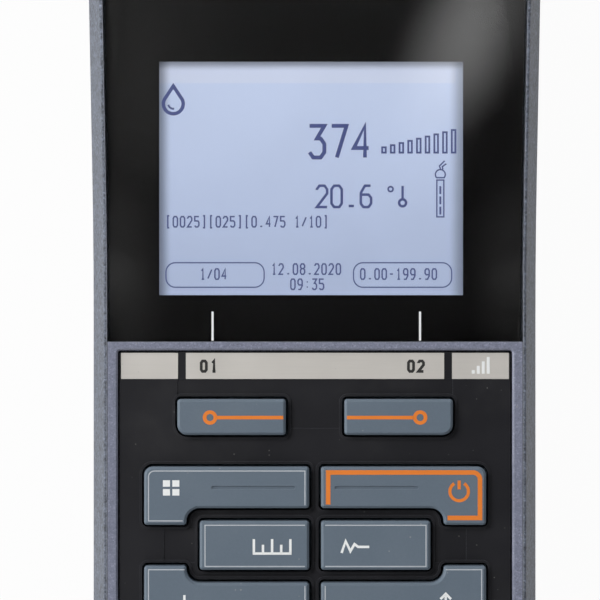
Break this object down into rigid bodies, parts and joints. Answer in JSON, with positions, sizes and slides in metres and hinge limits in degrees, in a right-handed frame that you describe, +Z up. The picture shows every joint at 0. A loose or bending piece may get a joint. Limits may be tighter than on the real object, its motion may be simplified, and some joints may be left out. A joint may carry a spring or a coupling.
{
  "type": "portable multiparameter meter",
  "caption": "Handheld water-quality meter with a graphic display, stepped keypad, round sensor sockets, covered data ports and a battery bay behind.",
  "frame": {"origin": "middle of the whole meter's box on the face it rests on", "axes": "+Y towards the sensor sockets, +X to the user's right, +Z up out of the rest face"},
  "size_m": [0.0796, 0.1834, 0.0511],
  "materials": {
    "front_casing": "fine spark-eroded texture",
    "rear_casing": "fine spark-eroded texture",
    "frame": "fine spark-eroded texture with a slight sparkle",
    "panel": "satin",
    "window": "clear, glossy",
    "mask": "black print",
    "foam": "matte foam",
    "lcd": "smooth, softly lit",
    "light_guide": "clear acrylic",
    "tray": "white moulding",
    "foil": "fine brushed foil",
    "key": "satin with printed marks",
    "rubber": "matte",
    "cover_rubber": "matte",
    "silicone": "translucent grey, matte",
    "steel": "machined",
    "lid_screw": "turned",
    "brass": "machined",
    "gold": "gold plated",
    "board": "solder mask",
    "tin": "tin plated",
    "chip": "moulded resin",
    "ribbon": "amber film",
    "insulator": "moulded",
    "socket_metal": "turned, nickel plated",
    "port_metal": "stamped",
    "cell": "printed jacket",
    "contact": "nickel plated"
  },
  "bodies": {
    "housing": {"backlight_guide": "light_guide", "battery_cells": "cell", "battery_contacts": "contact", "buzzer": "chip", "coin_cell": "tin", "display_window": "window", "dome_mat": "silicone", "front_shell": "front_casing", "housing_screws": "steel", "housing_seal": "rubber", "keypad_board": "board", "keypad_board_screws": "steel", "keypad_frame": "frame", "keypad_panel": "panel", "keypad_ribbon": "ribbon", "label_strip_left": "foil", "label_strip_middle": "foil", "label_strip_right": "foil", "lcd_glass": "lcd", "lcd_holder": "tray", "lid_inserts": "brass", "main_board": "board", "main_board_screws": "steel", "port_board": "board", "port_cover_hinge": "cover_rubber", "port_ribbon": "ribbon", "processor_chip": "chip", "rear_shell": "rear_casing", "screw_inserts": "brass", "shield_can": "tin", "socket_inserts": "insulator", "socket_nuts": "socket_metal", "socket_pins": "gold", "socket_seals": "rubber", "socket_shell_left": "socket_metal", "socket_shell_middle": "socket_metal", "socket_shell_right": "socket_metal", "usb_a_receptacle": "port_metal", "usb_b_receptacle": "port_metal", "window_gasket": "foam", "window_mask": "mask"},
    "soft_key_left": {"soft_key_left": "key"},
    "soft_key_right": {"soft_key_right": "key"},
    "mode_key": {"mode_key": "key"},
    "power_key": {"power_key": "key"},
    "calibrate_key": {"calibrate_key": "key"},
    "hold_key": {"hold_key": "key"},
    "store_key": {"store_key": "key"},
    "recall_key": {"recall_key": "key"},
    "up_key": {"up_key": "key"},
    "left_key": {"left_key": "key"},
    "enter_key": {"enter_key": "key"},
    "right_key": {"right_key": "key"},
    "down_key": {"down_key": "key"},
    "port_cover": {"port_cover": "cover_rubber"},
    "battery_lid": {"battery_lid": "rear_casing", "lid_seal": "rubber"},
    "lid_screw_lower": {"lid_screw_lower": "lid_screw"},
    "lid_screw_upper": {"lid_screw_upper": "lid_screw"}
  },
  "joints": [
    {"name": "soft_key_left_press", "type": "slide", "parent": "housing", "child": "soft_key_left", "axis": [0, 0.1322, -0.9912], "range_m": [0, 0.001], "stiffness_N_per_m": 1200, "springref_m": -0.0003},
    {"name": "soft_key_right_press", "type": "slide", "parent": "housing", "child": "soft_key_right", "axis": [0, 0.1322, -0.9912], "range_m": [0, 0.001], "stiffness_N_per_m": 1200, "springref_m": -0.0003},
    {"name": "mode_key_press", "type": "slide", "parent": "housing", "child": "mode_key", "axis": [0, 0.1322, -0.9912], "range_m": [0, 0.001], "stiffness_N_per_m": 1200, "springref_m": -0.0003},
    {"name": "power_key_press", "type": "slide", "parent": "housing", "child": "power_key", "axis": [0, 0.1322, -0.9912], "range_m": [0, 0.001], "stiffness_N_per_m": 1200, "springref_m": -0.0003},
    {"name": "calibrate_key_press", "type": "slide", "parent": "housing", "child": "calibrate_key", "axis": [0, 0.1322, -0.9912], "range_m": [0, 0.001], "stiffness_N_per_m": 1200, "springref_m": -0.0003},
    {"name": "hold_key_press", "type": "slide", "parent": "housing", "child": "hold_key", "axis": [0, 0.1322, -0.9912], "range_m": [0, 0.001], "stiffness_N_per_m": 1200, "springref_m": -0.0003},
    {"name": "store_key_press", "type": "slide", "parent": "housing", "child": "store_key", "axis": [0, 0.1322, -0.9912], "range_m": [0, 0.001], "stiffness_N_per_m": 1200, "springref_m": -0.0003},
    {"name": "recall_key_press", "type": "slide", "parent": "housing", "child": "recall_key", "axis": [0, 0.1322, -0.9912], "range_m": [0, 0.001], "stiffness_N_per_m": 1200, "springref_m": -0.0003},
    {"name": "up_key_press", "type": "slide", "parent": "housing", "child": "up_key", "axis": [0, 0.1322, -0.9912], "range_m": [0, 0.001], "stiffness_N_per_m": 1200, "springref_m": -0.0003},
    {"name": "left_key_press", "type": "slide", "parent": "housing", "child": "left_key", "axis": [0, 0.1322, -0.9912], "range_m": [0, 0.001], "stiffness_N_per_m": 1200, "springref_m": -0.0003},
    {"name": "enter_key_press", "type": "slide", "parent": "housing", "child": "enter_key", "axis": [0, 0.1322, -0.9912], "range_m": [0, 0.001], "stiffness_N_per_m": 1200, "springref_m": -0.0003},
    {"name": "right_key_press", "type": "slide", "parent": "housing", "child": "right_key", "axis": [0, 0.1322, -0.9912], "range_m": [0, 0.001], "stiffness_N_per_m": 1200, "springref_m": -0.0003},
    {"name": "down_key_press", "type": "slide", "parent": "housing", "child": "down_key", "axis": [0, 0.1322, -0.9912], "range_m": [0, 0.001], "stiffness_N_per_m": 1200, "springref_m": -0.0003},
    {"name": "port_cover_swing", "type": "hinge", "parent": "housing", "child": "port_cover", "pos_m": [0, 0.09156, 0.00447], "axis": [-1, 0, 0], "range_deg": [0, 90]},
    {"name": "battery_lid_lift", "type": "slide", "parent": "housing", "child": "battery_lid", "axis": [0, 0, -1], "range_m": [0, 0.03]},
    {"name": "lid_screw_lower_turn", "type": "hinge", "parent": "battery_lid", "child": "lid_screw_lower", "pos_m": [0, -0.04796, 0.003], "axis": [0, 0, -1], "continuous": true},
    {"name": "lid_screw_upper_turn", "type": "hinge", "parent": "battery_lid", "child": "lid_screw_upper", "pos_m": [0, 0.01904, 0.003], "axis": [0, 0, -1], "continuous": true}
  ]
}
